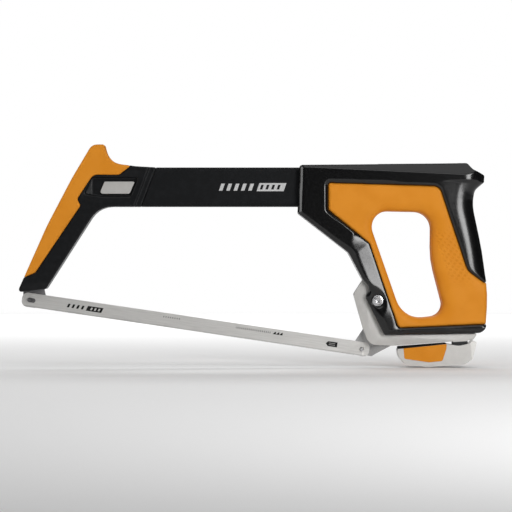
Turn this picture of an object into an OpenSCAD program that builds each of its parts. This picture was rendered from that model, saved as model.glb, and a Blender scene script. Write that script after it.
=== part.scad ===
// Hacksaw with a tubular beam, a closed handle and a lever that lets the blade go slack.
// Lengths are millimetres. X runs from the front of the saw to the handle, Z is up, Y is across.
// Outlines lie in the XZ plane, and each corner is [x, z, fillet radius].

/* [Blade] */
// Distance between the blade's two pins
blade_span = 300; // [250:1:360]
// Height of the blade, teeth included
blade_w = 12.7; // [11:0.1:15]
// Thickness of the blade
blade_t = 0.65; // [0.5:0.05:1]
// Teeth per inch
teeth_per_inch = 24; // [14, 18, 24, 32]
// Depth of one tooth
tooth_depth = 0.55; // [0.4:0.05:0.8]
// Length of blade past each pin
blade_end = 6.6; // [6:0.1:8]
// Diameter of the two pins that hold the blade
blade_pin_d = 3.4; // [2.8:0.1:4]
// Play between a blade pin and its hole, on the radius
pin_play = 0.3; // [0.2:0.05:0.5]

/* [Frame] */
// Height of the beam
beam_h = 35; // [29:0.5:42]
// Width of the beam
beam_w = 16; // [13:0.5:20]
// Wall of the beam
beam_wall = 1.6; // [1.2:0.1:2.5]
// Height of the beam's underside over the front blade pin
beam_rise = 83; // [69:1:100]
// How much lower the rear blade pin is than the front one
rear_drop = 43.8; // [40:0.5:52]
// Thickness that the front arm adds to each side of the beam
front_wall = 3.5; // [3:0.1:5]

/* [Handle] */
// Thickness of the steel plates inside the handle
plate_t = 2.5; // [2:0.1:3.5]
// Wall of the handle shells
shell_wall = 2.6; // [2:0.1:3.5]
// Thickness of the soft grip on the handle
grip_t = 3.2; // [2.4:0.1:4.5]
// How far the shells' rim stands proud of the grip
rim_proud = 0.8; // [0.4:0.1:1.5]
// Thickness of the soft lining in the hand opening and round the heel
lining = 2.4; // [2:0.1:3]

/* [Tension] */
// Diameter of the pivot bolt's shank
pivot_d = 6; // [5:0.1:8]
// Thickness of the release lever's cheeks
cheek_t = 3.2; // [2.5:0.1:4.5]
// Diameter of the lever's pin and of the catch pin
lever_pin_d = 5; // [4:0.1:6]
// Thickness of the hook
hook_t = 4; // [3:0.1:5]
// Angle that the arm gives way by when the lever is open
arm_swing = 3.5; // [2.5:0.1:4]

/* [Hidden] */
$fn = 48;

// Clearance between parts that only stay clear of each other, and the running fit of a pin
gap = 0.3;
run = 0.05;
// Thickness of the two steel tangs, and the gap between a tang and the blade
tang_t = 3;
tang_gap = 0.1;

beam_top = beam_rise + beam_h;
rear_x = sqrt(pow(blade_span, 2) - pow(rear_drop, 2));
blade_angle = asin(rear_drop / blade_span);

// Half thicknesses, from the middle plane outwards
plate_in = beam_w / 2;
plate_out = plate_in + plate_t;
cavity = plate_out + gap;
pocket = cavity + shell_wall;
grip_face = pocket + grip_t;
rim_face = grip_face + rim_proud;
eye_half = plate_in - gap;
arm_half = plate_in + 1;
cheek_in = arm_half + gap;
cheek_out = cheek_in + cheek_t;
front_half = beam_w / 2 + front_wall;
front_grip_half = front_half + 0.8;
joint_half = beam_w / 2 + 1.5;

// Points measured from the rear blade pin, and from the rear pin and the beam's top
function h(dx, z, r = 0) = [rear_x + dx, z, r];
function ht(dx, dz, r = 0) = [rear_x + dx, beam_top + dz, r];
// Points measured from the front blade pin and the beam's top
function ft(x, dz, r = 0) = [x, beam_top + dz, r];

function flat(p) = [p[0], p[1]];
function unit(v) = v / norm(v);
function turn_to(a) = a > 180 ? a - 360 : (a < -180 ? a + 360 : a);
// The arc that rounds corner q, between its neighbours p and s
function corner_arc(p, q, s, r) =
    r <= 0 ? [flat(q)] :
    let (u = unit(flat(p) - flat(q)), v = unit(flat(s) - flat(q)),
         half = acos(u * v) / 2, mid = flat(q) + unit(u + v) * r / sin(half),
         a = flat(q) + u * r / tan(half) - mid, b = flat(q) + v * r / tan(half) - mid,
         start = atan2(a[1], a[0]), sweep = turn_to(atan2(b[1], b[0]) - start),
         steps = max(2, ceil(abs(sweep) / 12)))
    [for (i = [0 : steps]) mid + r * [cos(start + sweep * i / steps), sin(start + sweep * i / steps)]];
function fillet(p) = len(p) > 2 ? p[2] : 0;
function before(pts, i) = pts[(i + len(pts) - 1) % len(pts)];
function after(pts, i) = pts[(i + 1) % len(pts)];
// How far along its edges a corner's fillet reaches
function fillet_reach(pts, i) =
    let (u = unit(flat(before(pts, i)) - flat(pts[i])), v = unit(flat(after(pts, i)) - flat(pts[i])))
    fillet(pts[i]) / tan(acos(u * v) / 2);
// Rounds every corner. Two fillets that would meet on a short edge share it.
function rounded(pts) =
    let (n = len(pts), reach = [for (i = [0 : n - 1]) fillet_reach(pts, i)],
         room = [for (i = [0 : n - 1])
            norm(flat(after(pts, i)) - flat(pts[i])) / max(reach[i] + reach[(i + 1) % n], 0.001)])
    [for (i = [0 : n - 1]) each corner_arc(before(pts, i), pts[i], after(pts, i),
        fillet(pts[i]) * min(1, 0.99 * room[i], 0.99 * room[(i + n - 1) % n]))];

// Main points of the tension mechanism
pivot = [rear_x + 13.3, -0.5];
lever_at = [rear_x + 87, -45];
catch_at = lever_at + [0, 22];
pin_offset = norm(pivot - [rear_x, -rear_drop]);
blade_slack = pin_offset * sin(arm_swing) + 0.5;

// The two ends of the web's lower edge, which rises from the post to the beam's socket
web_low = [rear_x - 12.6, 42];
web_front = [rear_x - 57.4, beam_top - 41];
handle_outline = [ht(-55.9, 2, 2.2), ht(93, 3.8, 2), ht(97.6, -1.6, 4), ht(108.6, -7, 1.4),
    ht(108.2, -13.4, 2.4), ht(100, -20.5, 8), ht(97.5, -32, 38), h(106.6, 43, 300), h(111.2, 5, 130),
    h(109.3, -29.1, 8), h(19.2, -30.8, 1.2), h(2.2, 3, 2.5), h(5.8, 8.2, 2.5), h(5.2, 13, 3),
    h(-0.6, 18.9, 1), concat(web_low, 8), concat(web_front, 2)];
opening_outline = [ht(2.4, -38.5, 14), ht(61.4, -39.8, 15), h(61, 36, 80), h(73.8, -13.4, 11),
    h(36.2, -17.6, 23)];
panel_outline = [ht(-30.6, -14, 2), ht(68, -17, 7.5), h(92.9, 26, 14), h(115, 10.3),
    h(115, -20.8), h(31.5, -24.4, 3.5), h(6.1, 50.4, 3), ht(-30.4, -37.8, 2)];
heel_top = 15.5;
heel_low = -20.9;
heel_x = rear_x + 92;

front_foot = [-9.8, 6.9];
horn_top = [56.5, beam_top + 20.3];
// A point of the front arm's outer edge, which bulges forwards from the line between its two ends
function front_edge(share, bulge, r) =
    let (p = front_foot + share * (horn_top - front_foot)) [p[0] - bulge, p[1], r];
front_outline = [concat(front_foot, 2.2), [15.6, 9.9, 1.8], ft(62.4, -beam_h, 22), ft(100, -beam_h),
    ft(113.4, 0), ft(96, 0.9, 20), ft(71.6, 4.1, 16), ft(67.3, 20.3, 1.3), concat(horn_top, 8),
    front_edge(0.77, 2.7, 120), front_edge(0.45, 3.5, 150)];
front_grip_outline = [ft(90, 0.5), ft(80.5, -6.8, 6), ft(57.5, -6.6, 7), ft(43.4, -28.2, 2.5),
    ft(46.4, -34, 1.5), [6.2, 24.4, 5], [-5, 19.6], [-40, 19.6], ft(-40, 40), ft(90, 40)];
recess_outline = [ft(56, -8.8, 3), ft(98.2, -8.8, 2), ft(91, -26.2, 2), ft(66, -26.1, 3),
    ft(49.6, -23.7, 1.5)];
slider_outline = [ft(67.6, -12.7, 1.5), ft(94.4, -12.7, 0.8), ft(89.8, -23.5, 2), ft(63, -23.5, 2)];
store_x = 75;
slider_travel = 6;

arm_outline = [h(0.8, 18.6, 1), h(-7.8, 5.2, 2.5), h(0.9, -26.3, 1.5), h(5.7, -39.4, 9),
    h(26.6, -40.6, 1), h(98.4, -35.4, 3), h(102.2, -29.7, 1), h(20.8, -31.3), h(4.1, 2.2, 1),
    h(7.3, 8, 1.5), h(6.8, 13.6, 1.5)];
rear_tang_outline = [h(1.1, -25.5), h(-6.2, -36.8, 2), h(-5.8, -41, 2), h(-1.5, -48.6, 3),
    h(8.5, -50.3, 3), h(11.8, -48.2, 2), h(26, -40.7), h(24, -35), h(8, -22)];
front_tang_outline = [[-5.6, 12], [-5.4, -1.5, 3], [0.5, -5.5, 4], [9, -4.6, 4], [14.8, 2.5, 1],
    [13.4, 9], [30, 36], [17, 38]];
// A point on the straight top edge of the lever's cheeks
function cheek_top(dx, r = 0) = h(dx, -43.4 + (dx - 31) * 4.5 / 44, r);
lever_outline = [cheek_top(31, 1), h(32, -50.4, 7), h(38.3, -57.5, 4), h(58, -59.4, 12),
    h(90.5, -57, 6), h(97.8, -52.3, 3), h(101.4, -37.4, 1), h(98.2, -35.8, 1), h(94.6, -38.6, 3),
    h(85.4, -40.6, 10), cheek_top(75, 2)];
pad_outline = [cheek_top(36.2, 0.5), cheek_top(74.8, 1), h(74.2, -43.5, 4), h(70.8, -54, 2.5),
    h(58.9, -55.2, 8), h(37, -52, 1.5)];
bumper_outline = [cheek_top(31.6), h(31.6, -41.4, 0.6), h(74.4, -38.1, 0.3), cheek_top(74.4)];

handle_points = rounded(handle_outline);
lever_points = rounded(lever_outline);
front_points = rounded(front_outline);
blade_corner = 5;
blade_front = -blade_corner - (blade_end - blade_corner) * cos(blade_angle)
    - (blade_w / 2 - blade_corner) * sin(blade_angle);
mid_x = (max([for (p = handle_points) p[0]]) + min(blade_front, min([for (p = front_points) p[0]]))) / 2;
low_z = min([for (p = lever_points) p[1]]);

// Fixings
screw_r = 1.6;
screw_head_r = 3;
screw_head_h = 2;
screw_hex_r = 1.5;
boss_r = 4;
// The web's screw sits between the web's lower edge and the beam
web_edge = web_low + 0.406 * (web_front - web_low);
web_screw = [web_edge[0], web_edge[1] + 0.366 * (beam_rise - web_edge[1])];
handle_screw_at = [web_screw, ht(92, -9), h(83, 50), h(92.5, 1)];
rivet_r = 2.5;
rivet_at = [ht(-42, -29.8), ht(-6, -29.8), ht(-24, -5.4)];
front_screw_at = [ft(119, -6), ft(130, -29)];
bolt_seat = pocket;
washer_t = 0.9;
bush_r = pivot_d / 2 + 1.5;
washer_r = 4.9;
spigot_end = 138;
beam_end = rear_x + 4;

// Extrudes an XZ outline across the saw, from y0 to y1
module slab(y0, y1) {
    translate([0, y1, 0]) rotate([90, 0, 0]) linear_extrude(y1 - y0) children();
}
// A round bar across the saw
module bar(at, r, y0, y1) {
    translate([at[0], y0, at[1]]) rotate([-90, 0, 0]) cylinder(r = r, h = y1 - y0);
}
// A hexagonal socket that starts at y and is cut towards +Y
module hex_socket(at, r, y, depth) {
    translate([at[0], y, at[1]]) rotate([-90, 0, 0]) cylinder(r = r, h = depth, $fn = 6);
}
module shape(pts) { polygon(rounded(pts)); }
// Puts the saw in its own frame: the origin is under its middle, at its lowest point
module place() { translate([-mid_x, 0, -low_z]) children(); }
// Turns what is drawn for one side into the other side
module on_side(side) {
    if (side < 0) children();
    else mirror([0, 1, 0]) children();
}
module rounded_bar(x0, x1, w, height, r) {
    translate([x0, 0, beam_rise + beam_h / 2]) rotate([90, 0, 90]) linear_extrude(x1 - x0) union() {
        square([w - 2 * r, height], center = true);
        square([w, height - 2 * r], center = true);
        for (y = [-1, 1], z = [-1, 1])
            translate([y * (w / 2 - r), z * (height / 2 - r)]) circle(r);
    }
}

// ---- Beam and its fixings ----
beam_corner = 3;
spigot_fit = 0.15;
module beam() {
    color([0.1, 0.1, 0.11]) difference() {
        intersection() {
            rounded_bar(90, beam_end, beam_w, beam_h, beam_corner);
            slab(-beam_w, beam_w) polygon([[100.2, beam_rise - 1], [beam_end, beam_rise - 1],
                [beam_end, beam_top + 1], [113.6 + 0.38, beam_top + 1]]);
        }
        rounded_bar(80, beam_end + 1, beam_w - 2 * beam_wall, beam_h - 2 * beam_wall,
            beam_corner - beam_wall);
        for (at = rivet_at) bar(at, rivet_r, -beam_w, beam_w);
        for (at = front_screw_at) bar(at, screw_r + 0.1, 0, beam_w);
    }
}
module beam_rivets() {
    color("silver") for (at = rivet_at) bar(at, rivet_r, -plate_out, plate_out);
}
module front_screws() {
    color("silver") for (at = front_screw_at) difference() {
        union() {
            bar(at, screw_r, beam_w / 2 - 6, beam_w / 2);
            bar(at, screw_head_r, beam_w / 2, beam_w / 2 + 1.6);
        }
        hex_socket(at, screw_hex_r, beam_w / 2 + 0.6, 3);
    }
}

// ---- Front arm ----
blade_slot_z = beam_top - 18.1;
store_y = -4;
recess_floor = -(front_half - 4.9);
slider_t = 2;
// How far the hard core under the soft front grip lies inside the arm's faces
core_inset = 1.8;
// The ramp for the thumb ends clear of the slider's travel
slider_front = min([for (p = slider_outline) p[0]]);
ramp_foot = slider_front - slider_travel - 0.5;
ramp_top = [ramp_foot - 7, recess_floor - 3.7];
module window() {
    intersection() {
        slab(-front_half - 1, recess_floor) shape(recess_outline);
        linear_extrude(beam_top) polygon([ramp_top, [ramp_foot, recess_floor], [spigot_end, recess_floor],
            [spigot_end, -front_half - 1], [ramp_top[0], -front_half - 1]]);
    }
}
module blade_channel() {
    translate([47, store_y - 0.8, blade_slot_z - blade_w / 2 - gap])
        cube([spigot_end, 2, blade_w + 2 * gap]);
}
module front_skin() {
    difference() {
        shape(front_outline);
        shape(front_grip_outline);
    }
}
module front_core() {
    grip_edge = 3.2;
    intersection() {
        offset(delta = -grip_edge) shape(front_outline);
        shape(front_grip_outline);
    }
}
module front_joint_band() {
    polygon([[93.6, beam_rise - 1], [101, beam_rise - 1], [115, beam_top + 1], [107.6, beam_top + 1]]);
}
module front_arm() {
    color([0.07, 0.07, 0.08]) difference() {
        union() {
            difference() {
                slab(-front_half, front_half) front_skin();
                slab(joint_half, front_half + 1) front_joint_band();
                slab(-front_half - 1, -joint_half) front_joint_band();
            }
            slab(-front_half + core_inset, front_half - core_inset) front_core();
            intersection() {
                rounded_bar(95, spigot_end, beam_w - 2 * (beam_wall + spigot_fit),
                    beam_h - 2 * (beam_wall + spigot_fit), beam_corner - beam_wall - spigot_fit);
                slab(-beam_w, beam_w) polygon([[99, beam_rise - 1], [spigot_end, beam_rise - 1],
                    [spigot_end, beam_top + 1], [112, beam_top + 1]]);
            }
        }
        window();
        blade_channel();
        // Slot for the slider's stud
        translate([store_x - slider_travel - 2.4, recess_floor - 1, blade_slot_z - 2.4])
            cube([slider_travel + 4.8, 4, 4.8]);
        slab(tang_gap + blade_t / 2, tang_gap + blade_t / 2 + tang_t) shape(front_tang_outline);
        for (at = front_screw_at) bar(at, screw_r, beam_w / 2 - 7, beam_w);
    }
}
module front_grip() {
    color([0.85, 0.52, 0.15]) difference() {
        slab(-front_grip_half, front_grip_half) intersection() {
            shape(front_outline);
            shape(front_grip_outline);
        }
        slab(-front_half + core_inset, front_half - core_inset) front_core();
    }
}
module front_tang() {
    color([0.5, 0.5, 0.5]) difference() {
        slab(tang_gap + blade_t / 2, tang_gap + blade_t / 2 + tang_t) shape(front_tang_outline);
        bar([0, 0], blade_pin_d / 2, -5, 10);
    }
}
pin_out = 2.6;
module blade_pin(at) {
    // The pin stands out past the blade and ends in a small chamfer
    union() {
        bar(at, blade_pin_d / 2, -pin_out + 0.4, blade_t / 2 + tang_gap + tang_t);
        translate([at[0], -pin_out, at[1]]) rotate([-90, 0, 0])
            cylinder(r1 = blade_pin_d / 2 - 0.4, r2 = blade_pin_d / 2, h = 0.4);
    }
}
module front_blade_pin() { color("silver") blade_pin([0, 0]); }

// ---- Blades ----
module toothed_blade(slot) {
    pitch = 25.4 / teeth_per_inch;
    teeth = floor((blade_span - 12) / pitch);
    first = (blade_span - teeth * pitch) / 2;
    half = blade_w / 2;
    hole_r = blade_pin_d / 2 + pin_play;
    left = -blade_end;
    right = blade_span + blade_end;
    pull = pin_play - 0.05;
    difference() {
        polygon(concat(
            corner_arc([right, half], [left, half], [left, -half], blade_corner),
            corner_arc([left, half], [left, -half], [right, -half], blade_corner),
            [for (i = [0 : teeth - 1]) each [[first + i * pitch, -half],
                [first + (i + 0.96) * pitch, -half + tooth_depth]]],
            corner_arc([left, -half], [right, -half], [right, half], blade_corner),
            corner_arc([right, -half], [right, half], [left, half], blade_corner)));
        translate([pull, 0]) circle(hole_r);
        translate([pull + slot, 0]) circle(hole_r);
        translate([pull, -hole_r]) square([max(slot, 0.01), 2 * hole_r]);
        translate([blade_span - pull, 0]) circle(hole_r);
    }
}
module blade() {
    color([0.72, 0.72, 0.7]) slab(-blade_t / 2, blade_t / 2)
        rotate(-blade_angle) toothed_blade(blade_slack);
}
module spare_blade() {
    color([0.72, 0.72, 0.7]) slab(store_y - blade_t / 2, store_y + blade_t / 2)
        translate([store_x, blade_slot_z]) toothed_blade(blade_slack);
}
module store_slider() {
    stud_r = blade_pin_d / 2;
    color([0.7, 0.69, 0.67]) union() {
        slab(recess_floor - 0.05 - slider_t, recess_floor - 0.05) shape(slider_outline);
        bar([store_x, blade_slot_z], stud_r, recess_floor - 0.5, store_y + 0.6);
    }
}

// ---- Handle ----
module handle_shape() { polygon(handle_points); }
module opening_shape() { shape(opening_outline); }
module panel_shape() {
    intersection() {
        shape(panel_outline);
        handle_shape();
    }
}
// The strip of soft grip that wraps round the heel of the handle
module heel_strip(depth) {
    intersection() {
        difference() {
            handle_shape();
            offset(delta = -depth) handle_shape();
        }
        translate([heel_x, heel_low]) square([60, heel_top - heel_low]);
    }
}
edge_wall = 3;
module handle_hollow() {
    difference() {
        offset(delta = -edge_wall) handle_shape();
        offset(delta = lining + edge_wall - 0.2) opening_shape();
        intersection() {
            difference() {
                handle_shape();
                offset(delta = -edge_wall - lining) handle_shape();
            }
            translate([heel_x - 6, heel_low - 6]) square([60, heel_top - heel_low + 12]);
        }
    }
}
module arm_profile() {
    union() {
        shape(arm_outline);
        translate(pivot) circle(8);
    }
}
// The room that the arm needs in the handle's front post, shut and open
module arm_room() {
    room = 0.9;
    half = arm_half + gap;
    for (a = [0, -arm_swing])
        slab(-half, half) intersection() {
            offset(delta = room) translate(pivot) rotate(a) translate(-pivot) arm_profile();
            translate([rear_x - 20, -32]) square([42, 62.5]);
        }
}
hook_reach = 30;
hook_room = hook_t / 2 + 1;
module hook_slot() {
    translate([lever_at[0] - hook_reach - 2, -hook_room, -33]) cube([hook_reach + 7, 2 * hook_room, 8]);
}
module handle_bosses() {
    for (at = handle_screw_at) bar(at, boss_r, -cavity - 0.1, 0);
    bar(catch_at, lever_pin_d / 2 + 3, -cavity - 0.1, -hook_room - 1);
    // Solid seat round the pivot, outside the steel plate
    bar(pivot, 9, -bolt_seat, -cavity);
}
// Draws the left shell, and its mirror image for the right one
module handle_shell(side) {
    on_side(side) difference() {
        union() {
            difference() {
                slab(-rim_face, 0) difference() {
                    handle_shape();
                    offset(delta = lining) opening_shape();
                    heel_strip(lining);
                }
                slab(-rim_face - 1, -pocket) panel_shape();
                slab(-cavity, 1) handle_hollow();
                // Socket for the beam
                translate([rear_x - 70, -beam_w / 2, beam_rise]) cube([80, beam_w, beam_h]);
            }
            intersection() {
                handle_bosses();
                slab(-rim_face, 0) handle_shape();
            }
        }
        arm_room();
        hook_slot();
        bar(pivot, pivot_d / 2, -rim_face - 1, 1);
        bar(pivot, washer_r + 0.4, -rim_face - 1, -bolt_seat);
        bar(catch_at, lever_pin_d / 2, -pocket + 0.8, 1);
        if (side < 0) for (at = handle_screw_at) bar(at, screw_r, -cavity - 0.5, 1);
        else for (at = handle_screw_at) {
            bar(at, screw_r + 0.2, -rim_face - 1, 1);
            bar(at, screw_head_r + 0.2, -rim_face - 1, -pocket + 1);
        }
    }
}
module handle_shell_left() { color([0.05, 0.05, 0.06]) handle_shell(-1); }
module handle_shell_right() { color([0.05, 0.05, 0.06]) handle_shell(1); }

module handle_grip(side) {
    on_side(side) difference() {
        union() {
            slab(-grip_face, -pocket) difference() {
                panel_shape();
                opening_shape();
            }
            slab(-pocket, 0) difference() {
                offset(delta = lining) opening_shape();
                opening_shape();
            }
            slab(-grip_face, 0) heel_strip(lining);
        }
        if (side > 0) for (at = handle_screw_at)
            bar(at, screw_head_r + 0.2, -grip_face - 1, -pocket + 1);
    }
}
module handle_grip_left() { color([0.85, 0.52, 0.15]) handle_grip(-1); }
module handle_grip_right() { color([0.85, 0.52, 0.15]) handle_grip(1); }
module handle_screws() {
    color("silver") for (at = handle_screw_at) difference() {
        union() {
            bar(at, screw_r, -cavity + 1, pocket - 1);
            bar(at, screw_head_r, pocket - 1, pocket - 1 + screw_head_h);
        }
        hex_socket(at, screw_hex_r, pocket - 0.3, 3);
    }
}

// ---- Steel plates between the beam and the pivot ----
plate_outline = [ht(-49.8, -2.4, 2), ht(4.5, -2.4, 3), ht(4.5, -26, 10), h(2, 66, 10), h(18.2, 14, 10),
    h(18.8, 3, 4), h(18.8, -5.9, 5.4), h(8, -5.9, 5.4), h(8, 4.6, 1.5), h(8.8, 5.6, 0.5), h(8.8, 15.5, 2),
    h(4.2, 22, 3), h(-6.8, 43, 4), h(-14, 66, 8), ht(-49.8, -33.2, 3)];
module side_plate() {
    difference() {
        slab(-plate_out, -plate_in) shape(plate_outline);
        for (at = rivet_at) bar(at, rivet_r, -plate_out - 1, 0);
        bar(pivot, pivot_d / 2, -plate_out - 1, 0);
    }
}
module side_plate_left() { color([0.55, 0.55, 0.56]) side_plate(); }
module side_plate_right() { color([0.55, 0.55, 0.56]) mirror([0, 1, 0]) side_plate(); }

// ---- Pivot ----
nut_h = 2.9;
head_h = 2.6;
module pivot_bolt() {
    color("silver") difference() {
        union() {
            bar(pivot, pivot_d / 2, -bolt_seat - washer_t, bolt_seat + washer_t + nut_h);
            bar(pivot, 3.6, -bolt_seat - washer_t - head_h + 0.6, -bolt_seat - washer_t);
            translate([pivot[0], -bolt_seat - washer_t - head_h, pivot[1]]) rotate([-90, 0, 0])
                cylinder(r1 = 3, r2 = 3.6, h = 0.6);
        }
        hex_socket(pivot, 1.75, -bolt_seat - washer_t - head_h - 1, 2.6);
    }
}
module pivot_nut() {
    color("silver") difference() {
        translate([pivot[0], bolt_seat + washer_t, pivot[1]]) rotate([-90, 0, 0])
            cylinder(r = 4.8, h = nut_h, $fn = 6);
        bar(pivot, pivot_d / 2, 0, 40);
    }
}
module pivot_washers() {
    color("silver") for (side = [-1, 1]) difference() {
        bar(pivot, washer_r, side < 0 ? -bolt_seat - washer_t : bolt_seat,
            side < 0 ? -bolt_seat : bolt_seat + washer_t);
        bar(pivot, pivot_d / 2, -40, 40);
    }
}
module pivot_bush() {
    color([0.7, 0.55, 0.3]) difference() {
        bar(pivot, bush_r, -plate_in, plate_in);
        bar(pivot, pivot_d / 2, -20, 20);
    }
}
module catch_pin() {
    color("silver") bar(catch_at, lever_pin_d / 2, -pocket + 0.8, pocket - 0.8);
}

// ---- Tension arm ----
ear_in = hook_t / 2 + 0.6;
ear_r = 6.5;
module tension_arm() {
    color([0.75, 0.75, 0.73]) difference() {
        union() {
            slab(-arm_half, arm_half) difference() {
                shape(arm_outline);
                translate(pivot) circle(6.9);
            }
            slab(-eye_half, eye_half) translate(pivot) circle(8);
            for (side = [-1, 1]) slab(side < 0 ? -arm_half : ear_in, side < 0 ? -ear_in : arm_half)
                union() {
                    translate(lever_at) circle(ear_r);
                    translate([lever_at[0] - ear_r, lever_at[1]]) square([2 * ear_r, 10.5]);
                }
        }
        bar(pivot, bush_r + run, -20, 20);
        bar(lever_at, lever_pin_d / 2 + run, -20, 20);
        // Slot that the hook swings in
        translate([lever_at[0] - hook_reach - 2, -ear_in, -44]) cube([hook_reach + 8.5, 2 * ear_in, 18]);
        slab(tang_gap + blade_t / 2, tang_gap + blade_t / 2 + tang_t) shape(rear_tang_outline);
    }
}
module rear_tang() {
    color([0.62, 0.62, 0.6]) difference() {
        slab(tang_gap + blade_t / 2, tang_gap + blade_t / 2 + tang_t) shape(rear_tang_outline);
        bar([rear_x, -rear_drop], blade_pin_d / 2 + run, -5, 10);
    }
}
module rear_blade_pin() { color("silver") blade_pin([rear_x, -rear_drop]); }

// ---- Release lever ----
floor_drop = 7.1;
module lever_body() {
    color([0.75, 0.75, 0.73]) difference() {
        slab(-cheek_out, cheek_out) shape(lever_outline);
        // The channel between the cheeks, open at the back
        slab(-cheek_in, cheek_in) translate([rear_x + 33.4, lever_at[1] - floor_drop]) square([80, 40]);
        slab(-cheek_out - 1, cheek_out + 1) shape(pad_outline);
        bar(lever_at, lever_pin_d / 2, -cheek_out + 1.2, cheek_out + 1);
    }
}
module lever_pad() {
    proud = 0.3;
    color([0.85, 0.52, 0.15]) slab(-cheek_out - proud, cheek_out + proud) shape(pad_outline);
}
// The rubber strip that stops the lever against the arm
module lever_bumper() {
    color([0.05, 0.05, 0.05]) slab(-cheek_in + gap, cheek_in - gap) shape(bumper_outline);
}
// Radius of the hook's inner face: it follows the catch pin as the arm gives way
function hook_inner(a) = norm(catch_at - lever_at) + lever_pin_d / 2 + 0.4 + 0.085 * max(a, 0);
function from_lever(r, a) = lever_at + r * [sin(a), cos(a)];
module lever_hook() {
    tip = 22;
    near = -10;
    far = -22;
    color([0.5, 0.5, 0.52]) difference() {
        slab(-hook_t / 2, hook_t / 2) union() {
            polygon(concat([for (a = [near : 2 : tip]) from_lever(hook_inner(a), a)],
                [for (a = [tip : -4 : far]) from_lever(hook_reach, a)],
                [from_lever(4, far - 30), from_lever(4, near + 30)]));
            translate(lever_at) circle(lever_pin_d / 2 + 3);
            translate(lever_at - [4.5, floor_drop]) square([9, floor_drop]);
        }
        bar(lever_at, lever_pin_d / 2, -10, 10);
    }
}
module lever_pin() {
    color("silver") bar(lever_at, lever_pin_d / 2, -cheek_out + 1.2, cheek_out);
}

place() beam();
place() front_arm();
place() front_grip();
place() front_tang();
place() front_blade_pin();
place() front_screws();
place() handle_shell_left();
place() handle_shell_right();
place() handle_grip_left();
place() handle_grip_right();
place() handle_screws();
place() side_plate_left();
place() side_plate_right();
place() beam_rivets();
place() pivot_bolt();
place() pivot_nut();
place() pivot_washers();
place() pivot_bush();
place() catch_pin();
place() tension_arm();
place() rear_tang();
place() rear_blade_pin();
place() lever_body();
place() lever_pad();
place() lever_bumper();
place() lever_hook();
place() lever_pin();
place() blade();
place() store_slider();
place() spare_blade();
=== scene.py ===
"""A hacksaw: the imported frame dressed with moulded, cast, rolled and printed surfaces.

Places are millimetres from the front blade pin, with x towards the handle and z up. millimetres() and row()
turn them from and into the row frame.
"""
import math

import bpy
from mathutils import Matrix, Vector
from mathutils.bvhtree import BVHTree


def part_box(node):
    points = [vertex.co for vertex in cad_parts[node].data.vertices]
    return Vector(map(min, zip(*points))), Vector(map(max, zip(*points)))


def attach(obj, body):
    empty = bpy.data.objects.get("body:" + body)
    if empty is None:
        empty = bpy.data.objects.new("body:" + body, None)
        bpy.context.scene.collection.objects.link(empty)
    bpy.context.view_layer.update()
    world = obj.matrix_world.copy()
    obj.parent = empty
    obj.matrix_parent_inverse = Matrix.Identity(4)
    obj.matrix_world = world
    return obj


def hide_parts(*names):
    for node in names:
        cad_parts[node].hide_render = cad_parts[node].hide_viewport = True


MM = 0.001

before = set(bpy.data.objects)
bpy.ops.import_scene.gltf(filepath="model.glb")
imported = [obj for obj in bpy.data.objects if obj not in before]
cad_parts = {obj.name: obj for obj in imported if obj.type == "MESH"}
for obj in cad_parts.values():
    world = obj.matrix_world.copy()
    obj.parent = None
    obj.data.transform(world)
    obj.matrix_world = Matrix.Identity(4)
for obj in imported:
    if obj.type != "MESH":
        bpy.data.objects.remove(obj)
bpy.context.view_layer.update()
bpy.ops.object.select_all(action="DESELECT")


def middle(node):
    """The middle of a node's box."""
    low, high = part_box(node)
    return (Vector(low) + Vector(high)) / 2


PIN = middle("front_blade_pin")
REAR_PIN = middle("rear_blade_pin")
ROOT = "frame"
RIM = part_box("handle_shell_right")[1][1] / MM
BLADE_ANGLE = math.atan2(PIN.z - REAR_PIN.z, REAR_PIN.x - PIN.x)
BEAM_TOP = (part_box("beam")[1][2] - PIN.z) / MM
SPARE_PIN = (75.0, BEAM_TOP - 18.1)
# The teeth stand below this distance from a blade's middle line
TOOTH_LINE = -6.2
# How far the teeth are set to each side, and the length of one wave of the set
SET = 0.22
SET_WAVE = 5.3


def millimetres(point):
    """The x, y and z of a point of the row frame, in millimetres from the front blade pin."""
    return (point.x - PIN.x) / MM, point.y / MM, (point.z - PIN.z) / MM


def row(x, y, z):
    """The point of the row frame at a place given in millimetres from the front blade pin."""
    return Vector((PIN.x + x * MM, y * MM, PIN.z + z * MM))


def ramp(value, start, end):
    """Rises smoothly from 0 at start to 1 at end."""
    t = min(max((value - start) / (end - start), 0.0), 1.0)
    return t * t * (3 - 2 * t)


# ---------------------------------------------------------------- shader maths

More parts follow.
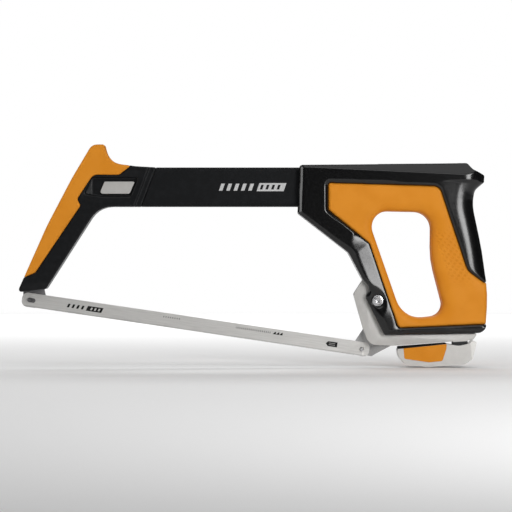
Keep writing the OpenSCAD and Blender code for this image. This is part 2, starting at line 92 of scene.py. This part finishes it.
class Value:
    """A shader socket that Python's arithmetic works on."""

    def __init__(self, finish, socket):
        self.finish = finish
        self.socket = socket

    def _math(self, operation, a, b=0.0):
        node = self.finish.node("ShaderNodeMath", {"operation": operation}, {0: a, 1: b})
        return Value(self.finish, node.outputs[0])

    def __add__(self, other):
        return self._math("ADD", self, other)

    def __sub__(self, other):
        return self._math("SUBTRACT", self, other)

    def __mul__(self, other):
        return self._math("MULTIPLY", self, other)

    def __rmul__(self, other):
        return self._math("MULTIPLY", other, self)

    def __radd__(self, other):
        return self._math("ADD", other, self)

    def __rsub__(self, other):
        return self._math("SUBTRACT", other, self)

    def __gt__(self, other):
        return self._math("GREATER_THAN", self, other)

    def __lt__(self, other):
        return self._math("LESS_THAN", self, other)

    def __abs__(self):
        return self._math("ABSOLUTE", self)

    def fraction(self):
        return self._math("FRACT", self)

    def root(self):
        return self._math("SQRT", self)

    def lower_of(self, other):
        return self._math("MINIMUM", self, other)

    def smooth(self, start, end):
        """Rises smoothly from 0 at start to 1 at end."""
        node = self.finish.node("ShaderNodeMapRange", {"interpolation_type": "SMOOTHSTEP"},
                                {"Value": self, "From Min": start, "From Max": end})
        return Value(self.finish, node.outputs[0])


class Finish:
    """A material with one Principled shader."""

    def __init__(self, name, color, roughness, metallic=0.0, specular=0.5):
        self.material = bpy.data.materials.new(name)
        self.material.use_nodes = True
        self.tree = self.material.node_tree
        self.shader = self.tree.nodes["Principled BSDF"]
        self.set("Base Color", (*color, 1.0))
        self.set("Roughness", roughness)
        self.set("Metallic", metallic)
        self.set("Specular IOR Level", specular)

    def set(self, name, value):
        self._plug(self.shader.inputs[name], value)

    def _plug(self, socket, value):
        if isinstance(value, Value):
            self.tree.links.new(value.socket, socket)
        else:
            socket.default_value = value

    def node(self, kind, settings=None, inputs=None):
        made = self.tree.nodes.new(kind)
        for key, value in (settings or {}).items():
            setattr(made, key, value)
        for key, value in (inputs or {}).items():
            self._plug(made.inputs[key], value)
        return made

    def place(self):
        """Object coordinates as three values, in millimetres from the front blade pin."""
        found = self.node("ShaderNodeTexCoord").outputs["Object"]
        apart = self.node("ShaderNodeSeparateXYZ", None, {0: Value(self, found)})
        x, y, z = (Value(self, apart.outputs[i]) for i in range(3))
        return (x - PIN.x) * (1 / MM), y * (1 / MM), (z - PIN.z) * (1 / MM)

    def noise(self, size, stretch=(1, 1, 1), detail=3.0, turn=0.0):
        """Noise with features about size millimetres across, from 0 to 1."""
        found = self.node("ShaderNodeTexCoord").outputs["Object"]
        scale = [1 / (size * MM * s) for s in stretch]
        turned = self.node("ShaderNodeMapping", {"vector_type": "TEXTURE"},
                           {"Vector": Value(self, found), "Rotation": (0, turn, 0)})
        scaled = self.node("ShaderNodeVectorMath", {"operation": "MULTIPLY"},
                           {0: Value(self, turned.outputs[0]), 1: scale})
        made = self.node("ShaderNodeTexNoise", None,
                         {"Vector": Value(self, scaled.outputs[0]), "Scale": 1.0, "Detail": detail})
        return Value(self, made.outputs[0])

    def mix(self, factor, a, b):
        """A colour that goes from a to b."""
        made = self.node("ShaderNodeMix", {"data_type": "RGBA"}, {0: factor})
        for socket, color in ((made.inputs[6], a), (made.inputs[7], b)):
            self._plug(socket, color if isinstance(color, Value) else (*color, 1.0))
        return Value(self, made.outputs[2])

    def bump(self, height, depth):
        """Raises the surface by height times depth millimetres."""
        made = self.node("ShaderNodeBump", None,
                         {"Strength": 1.0, "Distance": depth * MM, "Height": height})
        self.set("Normal", Value(self, made.outputs[0]))


def lattice(across, up, pitch):
    """The distance to the nearest dot of a staggered grid, as a share of its pitch."""
    def dots(u, v):
        du = (u * (1 / pitch)).fraction() - 0.5
        dv = (v * (1 / pitch)).fraction() - 0.5
        return (du * du + dv * dv).root()
    return dots(across, up).lower_of(dots(across + pitch / 2, up + pitch / 2))


def between(value, low, high, edge=0.12):
    """1 between low and high, with soft edges."""
    return value.smooth(low - edge, low + edge) * (1 - value.smooth(high - edge, high + edge))


def marks(along, pitch, start, end, edge=0.04):
    """Repeated marks, each of which fills the share from start to end of its pitch."""
    return between((along * (1 / pitch)).fraction(), start, end, edge)


def span(along, first, last):
    """1 between first and last, with sharp ends."""
    return between(along, first, last, 0.05)


# ---------------------------------------------------------------- finishes

ORANGE = (0.695, 0.256, 0.02)
# a darker orange, used both for patchy wear and for painted shade inside the dimples
ORANGE_WEAR_AND_SHADE = (0.63, 0.215, 0.010)
BLACK = (0.0014, 0.0014, 0.0016)
BLACK_HAZE = (0.0024, 0.0024, 0.0027)
COAT_BLACK = (0.0042, 0.0047, 0.0054)
COAT_DUST = (0.0062, 0.0068, 0.0078)
PRINT_GREY = (0.52, 0.52, 0.52)
SILVER = (0.53, 0.52, 0.5)
SILVER_BRIGHT = (0.61, 0.6, 0.58)
STEEL = (0.6, 0.59, 0.57)
STEEL_BRIGHT = (0.7, 0.69, 0.67)
INK = (0.008, 0.008, 0.008)
WORN_EDGE = (0.3, 0.29, 0.285)
# How far the prints lean forward for each millimetre of height
PRINT_LEAN = 0.35
# The print on the beam: the height of its middle, and where its parts start and end
PRINT_LEVEL = BEAM_TOP - 17.6
PRINT_BARS = (169, 201.5)
PRINT_PLATE = (204, 228)
PRINT_SLOTS = (206, 226)
# Where the marks on the blade start and end, measured from its front pin
INK_BARS = (33.6, 50.4)
INK_PLATE = (51.8, 65.8)
INK_SLOTS = (53.4, 64.4)
INK_TICKS = (120, 136)
INK_RULE = (186, 217)
INK_TEETH = (219, 228)
INK_TAG = (260, 277.6)
INK_ARROW = (270.0, 275.6)
# The dimples in the grip: how far their rows lean forward with height, how far apart they are, and the
# stretch and the heights that they fill
DIMPLE_LEAN = 0.33
DIMPLE_PITCH = 5.4
DIMPLE_STRETCH = (380, 400)
DIMPLE_HEIGHTS = (16, 62)


def soft_grip():
    """Orange rubber with a fine matt grain and rows of dimples where the palm lies."""
    finish = Finish("soft_grip_orange", ORANGE, 0.5, specular=0.12)
    grain = finish.noise(0.45, detail=4)
    cloud = finish.noise(18, detail=2)
    x, y, z = finish.place()
    lean = x + z * DIMPLE_LEAN
    palm = between(lean, *DIMPLE_STRETCH, 2.5) * between(z, *DIMPLE_HEIGHTS, 6)
    dimple = (1 - lattice(lean, z, DIMPLE_PITCH).smooth(0.12, 0.26)) * palm
    # patchy wear from the cloud noise, plus painted shade: the dimples are coloured darker as if shaded
    # inside
    wear_and_dimple_shade = cloud.smooth(0.35, 0.7) * 0.5 + dimple * 0.5
    finish.set("Base Color", finish.mix(wear_and_dimple_shade, ORANGE, ORANGE_WEAR_AND_SHADE))
    finish.set("Roughness", 0.44 + grain * 0.16)
    finish.bump(grain * 0.08 - dimple * 0.5, 0.6)
    return finish.material


def gloss_black():
    """Glossy moulded plastic, with the slight waviness of a moulding."""
    finish = Finish("moulded_black", BLACK, 0.2, specular=0.56)
    wave = finish.noise(9, detail=1)
    haze = finish.noise(2.2, detail=3)
    finish.set("Base Color", finish.mix(haze.smooth(0.4, 0.7), BLACK, BLACK_HAZE))
    finish.set("Roughness", 0.15 + haze * 0.08)
    finish.bump(wave * 0.5 + haze * 0.05, 0.05)
    return finish.material


def satin_black():
    """Black plastic with the fine grain of a spark-eroded mould."""
    finish = Finish("grained_black", COAT_BLACK, 0.4, specular=0.22)
    grain = finish.noise(0.5, detail=3)
    haze = finish.noise(4, detail=2)
    finish.set("Base Color", finish.mix(haze.smooth(0.4, 0.7), COAT_BLACK, COAT_DUST))
    finish.set("Roughness", 0.3 + grain * 0.16)
    finish.bump(grain, 0.03)
    return finish.material


def bumper_rubber():
    """Matt black rubber for the strip in the lever's channel; its black also stands in for the shade in the
    gap under the arm.
    """
    finish = Finish("bumper_rubber", COAT_BLACK, 0.8, specular=0.2)
    grain = finish.noise(0.6, detail=3)
    finish.set("Roughness", 0.7 + grain * 0.2)
    finish.bump(grain, 0.05)
    return finish.material


def powder_coat():
    """Matt black powder coat with a fine orange-peel grain and a pale print of slanted bars."""
    finish = Finish("powder_coat_black", COAT_BLACK, 0.5, specular=0.14)
    peel = finish.noise(0.7, detail=2)
    dust = finish.noise(5, detail=3)
    x, y, z = finish.place()
    level = z - PRINT_LEVEL
    lean = x - level * PRINT_LEAN
    bars = between(level, -3.1, 3.1) * marks(lean, 6.5, 0.2, 0.68, 0.03) * span(lean, *PRINT_BARS)
    plate = between(level, -3.6, 3.6) * between(lean, *PRINT_PLATE)
    slots = between(level, -2.1, 2.1) * marks(lean, 5.0, 0.25, 0.7, 0.03) * span(lean, *PRINT_SLOTS)
    printed = bars + plate * (1 - slots)
    coat = finish.mix(dust.smooth(0.4, 0.75), COAT_BLACK, COAT_DUST)
    finish.set("Base Color", finish.mix(printed, coat, PRINT_GREY))
    finish.set("Roughness", 0.42 + peel * 0.2)
    finish.bump(peel * (1 - printed), 0.035)
    return finish.material


def cast_metal(name, shaded_ears=False):
    """Tumbled die casting, satin with a fine sparkle.

    The second argument, when set, paints shade over the two ears under the arm, which lie in the dark gap
    inside the lever: black painted shade in place of lit metal."""
    metal_share = 0.5
    finish = Finish(name, SILVER, 0.42, metallic=metal_share)
    sparkle = finish.noise(0.35, detail=2)
    flow = finish.noise(7, detail=4)
    bright = sparkle.smooth(0.35, 0.75) * 0.5 + flow.smooth(0.3, 0.8) * 0.5
    metal = finish.mix(bright, SILVER, SILVER_BRIGHT)
    if shaded_ears:
        # painted shade: the ears below the arm's underside line, past x = 371 mm, are coloured black and
        # lose their metal sheen, standing for the shade in the gap inside the lever
        x, y, z = finish.place()
        under = z - (x - ARM_UNDERSIDE[0]) * ARM_UNDERSIDE[2] - ARM_UNDERSIDE[1]
        ear_shade = (1 - under.smooth(-0.9, -0.4)) * x.smooth(371, 373)
        metal = finish.mix(ear_shade, metal, COAT_BLACK)
        finish.set("Metallic", metal_share * (1 - ear_shade))
    finish.set("Base Color", metal)
    finish.set("Roughness", 0.36 + sparkle * 0.18)
    finish.bump(sparkle * 0.3 + flow * 0.7, 0.05)
    return finish.material


def blade_ink(along, over):
    """Plain marks for a blade: bars, a slotted plate, ticks, a rule, a few teeth, and an arrow on a tag."""
    lean = along - over * PRINT_LEAN
    bars = between(over, -1.5, 1.9) * marks(lean, 4.2, 0.2, 0.66) * span(lean, *INK_BARS)
    plate = between(over, -2.1, 2.4) * between(lean, *INK_PLATE)
    slots = between(over, -1.0, 1.3) * marks(lean, 3.4, 0.25, 0.7) * span(lean, *INK_SLOTS)
    ticks = between(over, 2.2, 3.4) * marks(along, 2.0, 0.3, 0.6, 0.05) * span(along, *INK_TICKS)
    rule = between(over, 1.8, 3.4) * marks(along, 1.7, 0.25, 0.65, 0.05) * span(along, *INK_RULE)
    tooth_pitch = 3.0
    tooth_foot = 1.6
    rising = (along * (1 / tooth_pitch)).fraction() * tooth_pitch
    teeth = span(along, *INK_TEETH) * between(over, tooth_foot, 3.9) * (over - tooth_foot < rising)
    off_middle = abs(over - 0.4)
    tag = (along > off_middle * 0.9 + 267.2) * between(along, *INK_TAG) * between(over, -1.8, 2.6)
    arrow = between(along, *INK_ARROW) * between(off_middle, 0.5, 0.95, 0.08)
    return bars + plate * (1 - slots) + ticks + rule * 0.8 + teeth + tag * (1 - arrow * 0.6)


def blade_steel(name, pin, angle, printed):
    """Rolled steel strip with a lengthways grain. printed adds plain marks on the left side."""
    finish = Finish(name, STEEL, 0.36, metallic=0.6)
    streak = finish.noise(0.25, (60, 1, 1), 3, angle)
    patch = finish.noise(6, (4, 1, 1), 2, angle)
    x, y, z = finish.place()
    across = x - pin[0]
    up = z - pin[1]
    along = across * math.cos(angle) - up * math.sin(angle)
    over = across * math.sin(angle) + up * math.cos(angle)
    steel = finish.mix(streak.smooth(0.3, 0.7), STEEL, STEEL_BRIGHT)
    edge = 1 - over.smooth(-5.6, -4.6)
    steel = finish.mix(edge * 0.45, steel, WORN_EDGE)
    if printed:
        steel = finish.mix(blade_ink(along, over) * (y < 0.0), steel, INK)
    finish.set("Base Color", steel)
    finish.set("Roughness", 0.3 + streak * 0.14 + patch * 0.06)
    finish.bump(streak, 0.02)
    return finish.material


def turned_steel(name, color, roughness):
    """Plated or bare steel with a fine uneven sheen."""
    finish = Finish(name, color, roughness, metallic=0.9)
    haze = finish.noise(0.8, detail=3)
    scuff = finish.noise(0.2, (14, 1, 1), 2, 0.5)
    darker = tuple(c * 0.86 for c in color)
    finish.set("Base Color", finish.mix(haze.smooth(0.35, 0.75), color, darker))
    finish.set("Roughness", roughness + haze * 0.1 + scuff * 0.05)
    finish.bump(scuff, 0.012)
    return finish.material


# A point of the straight underside of the tension arm, and how steeply it rises towards the back
ARM_UNDERSIDE = (323.4, -40.6, 0.0724)

GRIP = soft_grip()
GLOSS = gloss_black()
SATIN = satin_black()
RUBBER_AND_SHADE = bumper_rubber()
POWDER = powder_coat()
CAST = cast_metal("cast_metal")
# the arm's casting, with painted shade on its ears inside the lever
CAST_ARM_EAR_SHADE = cast_metal("cast_arm_metal_ear_shade", shaded_ears=True)
BLADE = blade_steel("blade_strip", (0.0, 0.0), BLADE_ANGLE, True)
SPARE = blade_steel("spare_blade_strip", SPARE_PIN, 0.0, False)
BRIGHT = turned_steel("zinc_plated_steel", (0.62, 0.62, 0.63), 0.18)
TANG = turned_steel("tang_steel", (0.42, 0.42, 0.42), 0.34)
# painted shade: a darker copy of the tang steel for the front tang and the front blade pin, which sit in the
# shade of the front arm
SHADED_FRONT_STEEL = turned_steel("front_tang_steel_shaded", (0.16, 0.16, 0.165), 0.4)
PLATE = turned_steel("plate_steel", (0.4, 0.4, 0.41), 0.4)
BRONZE = turned_steel("sintered_bronze", (0.5, 0.33, 0.15), 0.42)


# ---------------------------------------------------------------- making pieces

def only(obj):
    """Makes obj the one selected and active object."""
    bpy.ops.object.select_all(action="DESELECT")
    obj.select_set(True)
    bpy.context.view_layer.objects.active = obj


def apply(obj, kind, **settings):
    """Adds a modifier with these settings, and applies it."""
    only(obj)
    modifier = obj.modifiers.new(kind.lower(), kind)
    for key, value in settings.items():
        setattr(modifier, key, value)
    bpy.ops.object.modifier_apply(modifier=modifier.name)


def copy_of(node, name, flats=True):
    """A welded copy of a CAD node's mesh, with flat faces joined up again if flats is true."""
    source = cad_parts[node]
    mesh = source.data.copy()
    mesh.transform(source.matrix_world)
    piece = bpy.data.objects.new(name, mesh)
    bpy.context.collection.objects.link(piece)
    only(piece)
    bpy.ops.object.mode_set(mode="EDIT")
    bpy.ops.mesh.select_all(action="SELECT")
    bpy.ops.mesh.remove_doubles(threshold=0.00002)
    if flats:
        bpy.ops.mesh.dissolve_limited(angle_limit=math.radians(0.6))
    bpy.ops.object.mode_set(mode="OBJECT")
    return piece


def finish_piece(piece, node, body, material):
    """Gives a piece its material, and the body and the node that it stands for."""
    piece.data.materials.clear()
    piece.data.materials.append(material)
    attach(piece, body)
    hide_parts(node)
    return piece


def break_edges(piece, bevel, segments, smooth_angle):
    """Bevels a piece's sharp edges, and smooths across edges flatter than smooth_angle degrees."""
    apply(piece, "BEVEL", width=bevel * MM, segments=segments, limit_method="ANGLE",
          angle_limit=math.radians(30), use_clamp_overlap=True, harden_normals=False)
    only(piece)
    bpy.ops.object.shade_smooth_by_angle(angle=math.radians(smooth_angle))


def crisp(node, name, body, material, bevel, segments=2):
    """A copy of a CAD node with its sharp edges broken."""
    piece = copy_of(node, name)
    break_edges(piece, bevel, segments, 28)
    return finish_piece(piece, node, body, material)


def walls(node, keep):
    """A search tree of the node's upright faces for which keep(x, z, nx, nz, reach) is true.

    reach is the face's least distance from the saw's middle plane."""
    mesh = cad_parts[node].data
    points = [vertex.co.copy() for vertex in mesh.vertices]
    faces = []
    for face in mesh.polygons:
        if abs(face.normal.y) > 0.3:
            continue
        x, y, z = millimetres(face.center)
        reach = min(abs(points[i].y) for i in face.vertices) / MM
        if keep(x, z, face.normal.x, face.normal.z, reach):
            faces.append(list(face.vertices))
    return BVHTree.FromPolygons(points, faces)


def distance(tree, point, level):
    """How far a point is from the walls, in millimetres, measured at that distance from the middle plane."""
    side = 1 if point.y > 0 else -1
    found = tree.find_nearest(Vector((point.x, side * level * MM, point.z)))
    return found[3] / MM if found[3] is not None else 1e3


def rounding(d, width, depth):
    """How far a quarter-round edge falls away at distance d from it."""
    if d >= width:
        return 0.0
    t = 1 - d / width
    return depth * (1 - math.sqrt(max(1 - t * t, 0.0)))


def chamfer(d, width, depth):
    """How far a flat chamfer falls away at distance d from its edge."""
    return max(depth * (1 - d / width), 0.0)


def moulded(node, name, body, material, voxel, base, top, surface, smooth=3):
    """A copy of a CAD node remeshed finely, with its outer side moved onto surface(point).

    Heights from the middle plane up to base stay, and those from base to top are pressed to end at the
    surface."""
    piece = copy_of(node, name, flats=False)
    coarser = 1.0
    apply(piece, "REMESH", mode="VOXEL", voxel_size=voxel * MM * coarser)
    for vertex in piece.data.vertices:
        height = abs(vertex.co.y) / MM
        if height <= base:
            continue
        limit = surface(vertex.co, height)
        side = 1 if vertex.co.y > 0 else -1
        vertex.co.y = side * MM * (base + (height - base) * (limit - base) / (top - base))
    apply(piece, "SMOOTH", factor=0.5, iterations=smooth)
    only(piece)
    bpy.ops.object.shade_smooth()
    return finish_piece(piece, node, body, material)


# ---------------------------------------------------------------- handle

GRIP_SINK = 1.7
OUTER = "handle_shell_left"

# Faces of the outline and of the recess, picked by their place, direction and reach
front_walls = walls(OUTER, lambda x, z, nx, nz, reach: nx < -0.7 and z > 76 and x < 262 and reach < 13)
post_walls = walls(OUTER, lambda x, z, nx, nz, reach: nx < -0.3 and reach < 13 and x < 318
                   and (z < 18 or (x - 241.5) * 0.62 + (z - 75.4) * 0.785 < 3 and z < 78))
bottom_walls = walls(OUTER, lambda x, z, nx, nz, reach: nz < -0.7 and z < -26 and reach < 13)
back_walls = walls(OUTER, lambda x, z, nx, nz, reach: nx > 0.3 and x > 388 and z < 102 and reach < 13)
heel_walls = walls("handle_grip_left", lambda x, z, nx, nz, reach: nx > 0.7 and x > 398)
panel_walls = walls(OUTER, lambda x, z, nx, nz, reach: reach > 13.2)
opening_walls = walls("handle_grip_left", lambda x, z, nx, nz, reach: 300 < x < 372 and -20 < z < 84
                      and (337 - x) * nx + (30 - z) * nz > 0)
grip_walls = walls("handle_grip_left", lambda x, z, nx, nz, reach: reach > 13.2)


def along_table(value, table):
    """Reads a short table of (place, size) pairs with straight lines between them."""
    for (a, first), (b, second) in zip(table, table[1:]):
        if value <= b:
            return first + (second - first) * min(max((value - a) / (b - a), 0.0), 1.0)
    return table[-1][1]


# The head of the handle ends in a nose that is round as seen from above. A step under it starts the neck.
NOSE_START = 386.5
NOSE_TIP = 404.6
NECK_TOP = 105.4

# A point of the straight lower edge of the slope along the handle's top, that edge's drop towards the back,
# and how steep the slope over it is
TOP_EDGE = (247, 118.1)
TOP_EDGE_DROP = 0.0476
TOP_STEEPNESS = 0.7


def nose_fall(x):
    """How far the head's round nose falls away from the rim."""
    t = min(max((x - NOSE_START) / (NOSE_TIP - NOSE_START), 0.0), 0.97)
    return 0.8 * RIM * (1 - math.sqrt(1 - t * t))


def top_fall(x, z):
    """The slope along the handle's top, which widens towards the back down to a straight line."""
    return TOP_STEEPNESS * max(z - TOP_EDGE[1] + TOP_EDGE_DROP * (x - TOP_EDGE[0]), 0.0)


# The ridge that runs down the front post: how wide its outer and its inner slope are at each height
OUTER_SLOPE = ((-30, 5.0), (-8, 5.0), (4, 2.4), (24, 2.4), (40, 4.6), (53, 3.0), (79, 2.4))
INNER_SLOPE = ((-30, 8.0), (8, 11.0), (37, 13.0), (46, 12.5), (52, 9.0), (60, 1.4), (68, 1.4), (74, 2.8))


def handle_surface(point):
    """How far the handle's outer side stands from the middle plane, in millimetres."""
    x, y, z = millimetres(point)
    level = RIM - 1
    outer = along_table(z, OUTER_SLOPE)
    falls = [
        top_fall(x, z),
        chamfer(distance(front_walls, point, level), 3.8, 3.0),
        chamfer(distance(post_walls, point, level), outer, 0.4 + 0.38 * outer),
        chamfer(distance(bottom_walls, point, level), 3.0, 2.4),
        rounding(distance(heel_walls, point, 6), 9, 6),
    ]
    if z > NECK_TOP:
        falls.append(nose_fall(x))
    else:
        step = 1.0 * ramp(x, 362, 388)
        falls.append(step + rounding(distance(back_walls, point, level), 16, 10) * ramp(z, 2, 30))
    return RIM - max(falls)


def opening_fall(point):
    """The rolled edge of the hand opening, which is widest where the palm lies."""
    x, y, z = millimetres(point)
    palm = ramp(x, 335, 352)
    return rounding(distance(opening_walls, point, 6), 8 + 6 * palm, 5.5 + 2.5 * palm)


def shell_surface(point, height):
    """The shell ends in a bevel towards the grip. Its part under the grip follows the rolled edge."""
    limit = handle_surface(point)
    if height < RIM - 1.5:
        return limit - opening_fall(point) - 1.2
    x, y, z = millimetres(point)
    post = 1 - ramp(x, 322, 334)
    width = 1.4 + (along_table(z, INNER_SLOPE) - 1.4) * post * (1 - ramp(z, 108, 112))
    depth = GRIP_SINK + 0.5 * post
    depth *= 1 - 0.7 * post * (1 - ramp(z, -20, 3))
    return limit - chamfer(distance(panel_walls, point, RIM - 1), width, depth)


def grip_surface(point, height):
    """The grip sinks a little under the rim, with a groove along its edge and a soft edge at the opening."""
    edge = distance(grip_walls, point, 15)
    groove = 0.9 * (1 - ramp(edge, 0.2, 1.5))
    return handle_surface(point) - GRIP_SINK - opening_fall(point) - groove


GRIP_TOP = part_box("handle_grip_right")[1][1] / MM
for side in ("left", "right"):
    moulded(f"handle_shell_{side}", f"moulded_shell_{side}", ROOT, GLOSS, 0.85, 6.0, RIM, shell_surface)
    moulded(f"handle_grip_{side}", f"soft_grip_{side}", ROOT, GRIP, 0.8, 6.0, GRIP_TOP, grip_surface, 4)


# ---------------------------------------------------------------- front arm

ARM_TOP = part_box("front_arm")[1][1] / MM
FRONT_GRIP_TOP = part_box("front_grip")[1][1] / MM
arm_walls = walls("front_arm", lambda x, z, nx, nz, reach: reach < 7 and x < 98)
horn_walls = walls("front_grip", lambda x, z, nx, nz, reach: reach < 9)
seam_walls = walls("front_grip", lambda x, z, nx, nz, reach: reach >= 9)


def arm_surface(point, height):
    """The front arm is slightly crowned, with round edges."""
    d = distance(arm_walls, point, ARM_TOP - 0.5)
    return ARM_TOP - max(rounding(d, 1.6, 1.3), 0.5 * (1 - ramp(d, 1, 7)))


def horn_surface(point, height):
    """The front grip is round outside, and falls a little to the seam beside the arm."""
    outer = rounding(distance(horn_walls, point, 10), 5.5, 4.2)
    seam = rounding(distance(seam_walls, point, FRONT_GRIP_TOP - 0.3), 1.6, 0.8)
    return FRONT_GRIP_TOP - max(outer, seam)


moulded("front_arm", "moulded_front_arm", ROOT, SATIN, 0.65, 7.4, ARM_TOP, arm_surface, 2)
moulded("front_grip", "soft_front_grip", ROOT, GRIP, 0.65, 5.0, FRONT_GRIP_TOP, horn_surface, 3)


# ---------------------------------------------------------------- metal parts

crisp("tension_arm", "cast_arm", "arm", CAST_ARM_EAR_SHADE, 1.1, 3)
# the black strip in the lever's channel: a rubber part whose black is also painted shade of the gap under
# the arm
crisp("lever_bumper", "lever_bumper_strip", "lever", RUBBER_AND_SHADE, 0.3, 2)


def faceted_lever():
    """The lever, with the flat facets that thin it towards its back end."""
    piece = copy_of("lever_body", "cast_lever")
    facet = row(392.6, 0, -40)
    lean = 0.1
    thinning = 0.26
    only(piece)
    bpy.ops.object.mode_set(mode="EDIT")
    bpy.ops.mesh.select_all(action="SELECT")
    bpy.ops.mesh.bisect(plane_co=facet, plane_no=(1, 0, lean))
    bpy.ops.object.mode_set(mode="OBJECT")
    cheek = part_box("lever_body")[1][1] - 0.5 * MM
    for vertex in piece.data.vertices:
        past = vertex.co.x - facet.x + lean * (vertex.co.z - facet.z)
        if past > 0.1 * MM and abs(vertex.co.y) > cheek:
            vertex.co.y -= math.copysign(thinning * past, vertex.co.y)
    break_edges(piece, 0.9, 3, 12)
    return finish_piece(piece, "lever_body", "lever", CAST)


faceted_lever()
crisp("lever_pad", "lever_soft_pad", "lever", GRIP, 0.7, 3)
crisp("store_slider", "spare_blade_slider", "stored_blade", CAST, 0.35, 2)
crisp("pivot_bolt", "pivot_bolt_bright", ROOT, BRIGHT, 0.45, 3)
crisp("pivot_nut", "pivot_nut_bright", ROOT, BRIGHT, 0.4, 2)
crisp("pivot_washers", "pivot_washers_bright", ROOT, BRIGHT, 0.25, 2)
crisp("handle_screws", "handle_screws_bright", ROOT, BRIGHT, 0.3, 2)
crisp("front_screws", "front_screws_bright", ROOT, BRIGHT, 0.3, 2)
crisp("rear_tang", "rear_tang_pressing", "arm", TANG, 0.3, 2)
crisp("front_tang", "front_tang_pressing", ROOT, SHADED_FRONT_STEEL, 0.3, 2)
crisp("lever_hook", "forged_hook", "lever", PLATE, 0.4, 2)


def set_teeth(node, name, body, material, start, angle):
    """A copy of a blade with its teeth pushed to the two sides in a wave that starts past its front end."""
    piece = copy_of(node, name, flats=False)
    for vertex in piece.data.vertices:
        x, y, z = millimetres(vertex.co)
        along = (x - start[0]) * math.cos(angle) - (z - start[1]) * math.sin(angle)
        over = (x - start[0]) * math.sin(angle) + (z - start[1]) * math.cos(angle)
        if over < TOOTH_LINE:
            vertex.co.y += SET * MM * ramp(along, 14, 22) * math.sin(along * 2 * math.pi / SET_WAVE)
    only(piece)
    bpy.ops.object.shade_smooth_by_angle(angle=math.radians(30))
    return finish_piece(piece, node, body, material)


set_teeth("blade", "fitted_blade_strip", "fitted_blade", BLADE, (0.0, 0.0), BLADE_ANGLE)
set_teeth("spare_blade", "spare_blade_strip", "stored_blade", SPARE, SPARE_PIN, 0.0)

KEPT = {
    # the front blade pin takes the darker front steel, which is painted shade
    "beam": POWDER, "front_blade_pin": SHADED_FRONT_STEEL, "rear_blade_pin": BRIGHT, "lever_pin": BRIGHT,
    "catch_pin": BRIGHT, "beam_rivets": BRIGHT, "pivot_bush": BRONZE,
    "side_plate_left": PLATE, "side_plate_right": PLATE,
}
for node, material in KEPT.items():
    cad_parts[node].data.materials.clear()
    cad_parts[node].data.materials.append(material)


# ---------------------------------------------------------------- room, light and camera

def studio():
    """A pale floor, just under the saw."""
    width = 3.4
    bpy.ops.mesh.primitive_plane_add(size=1, location=(0, 0.4, -0.5 * MM))
    floor = bpy.context.object
    floor.name = "floor"
    floor.scale = (width, width, 1)
    bpy.ops.object.transform_apply(location=True, rotation=False, scale=True)
    finish = Finish("pale_floor", (0.9, 0.9, 0.9), 0.9)
    finish.set("Roughness", 0.82 + finish.noise(30, detail=2) * 0.1)
    floor.data.materials.append(finish.material)


def area_light(name, place, target, size, power):
    """A rectangular light at place that faces target, in metres and watts."""
    lamp = bpy.data.lights.new(name, "AREA")
    lamp.shape = "RECTANGLE"
    lamp.size, lamp.size_y = size
    lamp.energy = power
    holder = bpy.data.objects.new(name, lamp)
    bpy.context.collection.objects.link(holder)
    holder.location = place
    holder.rotation_euler = (Vector(target) - Vector(place)).to_track_quat("-Z", "Y").to_euler()


def camera():
    """A camera that looks straight at the saw's left side, level with its middle."""
    lens = bpy.data.cameras.new("camera")
    lens.lens = 173.4
    lens.sensor_width = 36
    holder = bpy.data.objects.new("camera", lens)
    bpy.context.collection.objects.link(holder)
    aim = row(202.2, 0, 39.2)
    distance_away = 2.2
    holder.location = (aim.x, -distance_away, aim.z)
    holder.rotation_euler = (math.radians(90), 0, 0)
    bpy.context.scene.camera = holder


def air():
    """A white surround beyond the floor, which lights the saw only faintly."""
    world = bpy.data.worlds.new("studio_air")
    world.use_nodes = True
    tree = world.node_tree
    seen = tree.nodes.new("ShaderNodeLightPath").outputs["Is Camera Ray"]
    strength = tree.nodes.new("ShaderNodeMapRange")
    faint = 0.05
    strength.inputs["To Min"].default_value = faint
    tree.links.new(seen, strength.inputs["Value"])
    background = tree.nodes["Background"]
    background.inputs["Color"].default_value = (1, 1, 1, 1)
    tree.links.new(strength.outputs[0], background.inputs["Strength"])
    bpy.context.scene.world = world


studio()
camera()
air()
bpy.context.scene.view_settings.view_transform = "Standard"
area_light("top_light", (0.0, -0.35, 1.15), (0, 0, 0.1), (1.5, 0.7), 3.2)
area_light("left_light", (-1.45, -0.45, 0.4), (-0.1, 0, 0.1), (0.5, 0.9), 5)
area_light("key_light", (0.7, -1.13, 0.4), (0.1, 0, 0.1), (0.4, 0.6), 8.5)
area_light("high_front_light", (0.0, -1.5, 1.3), (0, 0, 0.1), (1.6, 0.5), 5.4)
area_light("floor_light", (0.0, 1.5, 1.3), (0, 1.7, 0), (3.0, 1.4), 42)
